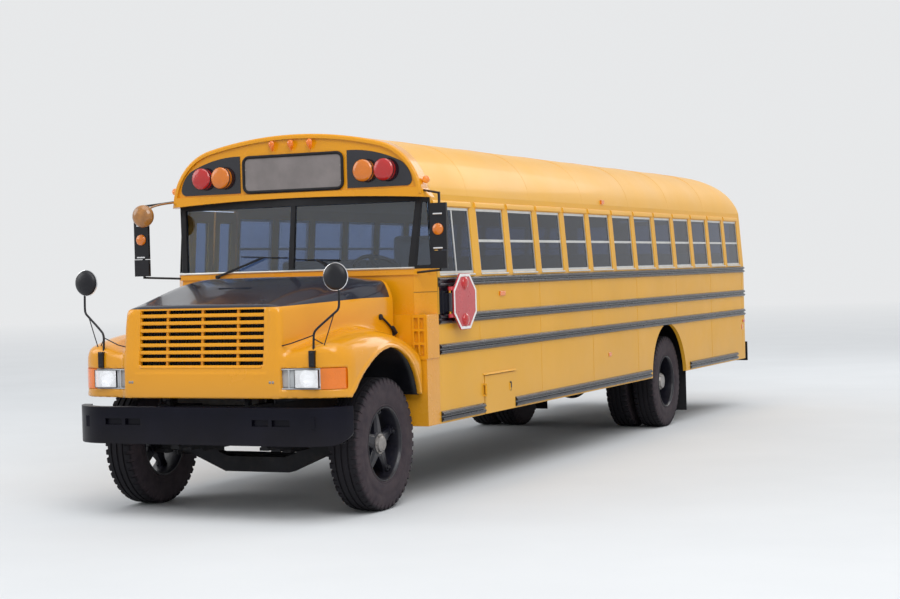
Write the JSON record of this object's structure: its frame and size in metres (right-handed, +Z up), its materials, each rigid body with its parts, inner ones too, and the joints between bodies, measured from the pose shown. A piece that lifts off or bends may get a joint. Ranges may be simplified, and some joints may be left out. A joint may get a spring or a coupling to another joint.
{
  "type": "conventional school bus",
  "caption": "Full-length bonneted school bus with tilting hood, steered front wheels, twin rear wheels, folding entrance doors, rear exit door and folding stop arm.",
  "frame": {"origin": "on the road at the middle of the bus's length and width", "axes": "+X to the bus's own left, +Y to its rear, +Z up"},
  "size_m": [2.914, 11.2, 2.975],
  "materials": {
    "yellow_paint": "gloss",
    "black_paint": "satin",
    "chassis_paint": "satin",
    "wheel_paint": "satin",
    "aluminium": "mill",
    "clear_glass": "clear",
    "lamp_clear": "clear",
    "lamp_amber": "gloss",
    "lamp_red": "gloss",
    "stop_red": "gloss",
    "tyre": "matt",
    "rubber": "matt",
    "dark_plastic": "matt",
    "grey_plastic": "satin",
    "seat_vinyl": "grained",
    "floor_rubber": "matt",
    "steel": "dull",
    "cast_iron": "cast"
  },
  "bodies": {
    "chassis": {"body_mirrors": "dark_plastic", "cabin_glass": "clear_glass", "cowl": "yellow_paint", "dashboard": "dark_plastic", "driveline": "chassis_paint", "engine": "cast_iron", "exhaust": "steel", "floor": "floor_rubber", "floor_wells": "floor_rubber", "frame_rails": "chassis_paint", "front_axle": "chassis_paint", "front_bumper": "black_paint", "front_cap": "yellow_paint", "fuel_tank": "steel", "lamp_panels": "black_paint", "leaf_springs": "chassis_paint", "mud_flaps": "rubber", "radiator": "aluminium", "rear_axle": "chassis_paint", "rear_bumper": "black_paint", "rear_wall": "yellow_paint", "roof": "yellow_paint", "rub_rails": "black_paint", "seats": "seat_vinyl", "side_left": "yellow_paint", "side_right": "yellow_paint", "sign_panels": "yellow_paint", "window_sashes": "aluminium", "windshield": "clear_glass", "windshield_frame": "black_paint", "wipers": "dark_plastic", "battery_box": "chassis_paint", "crossmembers": "chassis_paint", "seat_backs": "seat_vinyl", "amber_lamps": "lamp_amber", "red_lamps": "lamp_red"},
    "hood": {"hood": "yellow_paint", "lamp_bezels": "grey_plastic", "headlamps": "lamp_clear", "turn_lamps": "lamp_amber", "fender_mirrors": "dark_plastic"},
    "steer_left": {"knuckle_left": "chassis_paint"},
    "steer_right": {"knuckle_right": "chassis_paint"},
    "tie_rod": {"tie_rod": "chassis_paint"},
    "wheel_front_left": {"front_wheel_left": "wheel_paint", "front_tyre_left": "tyre"},
    "wheel_front_right": {"front_wheel_right": "wheel_paint", "front_tyre_right": "tyre"},
    "wheels_rear_left": {"rear_wheels_left": "wheel_paint", "rear_tyres_left": "tyre"},
    "wheels_rear_right": {"rear_wheels_right": "wheel_paint", "rear_tyres_right": "tyre"},
    "entrance_front": {"entrance_leaf_front": "yellow_paint", "entrance_glass_front": "clear_glass"},
    "entrance_rear": {"entrance_leaf_rear": "yellow_paint", "entrance_glass_rear": "clear_glass"},
    "emergency_door": {"emergency_door": "yellow_paint", "emergency_glass": "clear_glass"},
    "battery_door": {"battery_door": "yellow_paint"},
    "stop_arm": {"stop_arm": "stop_red"}
  },
  "joints": [
    {"name": "hood_tilt", "type": "hinge", "parent": "chassis", "child": "hood", "pos_m": [0, -5.47, 0.905], "axis": [1, 0, 0], "range_deg": [0, 60]},
    {"name": "steering_left", "type": "hinge", "parent": "chassis", "child": "steer_left", "pos_m": [0.87, -4.68, 0.509], "axis": [0, 0, 1], "range_deg": [-32, 32]},
    {"name": "steering_right", "type": "hinge", "parent": "chassis", "child": "steer_right", "pos_m": [-0.87, -4.68, 0.509], "axis": [0, 0, 1], "range_deg": [-32, 32]},
    {"name": "tie_rod_swing", "type": "hinge", "parent": "steer_left", "child": "tie_rod", "pos_m": [0.87, -4.49, 0.393], "axis": [0, 0, 1], "range_deg": [-32, 32]},
    {"name": "roll_front_left", "type": "hinge", "parent": "steer_left", "child": "wheel_front_left", "pos_m": [1, -4.68, 0.509], "axis": [1, 0, 0], "continuous": true},
    {"name": "roll_front_right", "type": "hinge", "parent": "steer_right", "child": "wheel_front_right", "pos_m": [-1, -4.68, 0.509], "axis": [1, 0, 0], "continuous": true},
    {"name": "roll_rear_left", "type": "hinge", "parent": "chassis", "child": "wheels_rear_left", "pos_m": [0.864, 2.33, 0.509], "axis": [1, 0, 0], "continuous": true},
    {"name": "roll_rear_right", "type": "hinge", "parent": "chassis", "child": "wheels_rear_right", "pos_m": [-0.864, 2.33, 0.509], "axis": [1, 0, 0], "continuous": true},
    {"name": "entrance_front_hinge", "type": "hinge", "parent": "chassis", "child": "entrance_front", "pos_m": [-1.233, -3.787, 1.15], "axis": [0, 0, 1], "range_deg": [0, 90]},
    {"name": "entrance_rear_hinge", "type": "hinge", "parent": "chassis", "child": "entrance_rear", "pos_m": [-1.233, -3.043, 1.15], "axis": [0, 0, 1], "range_deg": [-90, 0]},
    {"name": "emergency_hinge", "type": "hinge", "parent": "chassis", "child": "emergency_door", "pos_m": [-0.438, 5.474, 1.7], "axis": [0, 0, 1], "range_deg": [0, 110]},
    {"name": "battery_hinge", "type": "hinge", "parent": "chassis", "child": "battery_door", "pos_m": [1.237, -2.999, 0.8], "axis": [0, 0, -1], "range_deg": [0, 115]},
    {"name": "stop_arm_hinge", "type": "hinge", "parent": "chassis", "child": "stop_arm", "pos_m": [1.266, -3.755, 1.565], "axis": [0, 0, -1], "range_deg": [0, 90]}
  ],
  "couplings": [
    {"joint": "steering_right", "follows": "steering_left", "ratio": 1},
    {"joint": "tie_rod_swing", "follows": "steering_left", "ratio": -1},
    {"joint": "entrance_rear_hinge", "follows": "entrance_front_hinge", "ratio": -1}
  ]
}
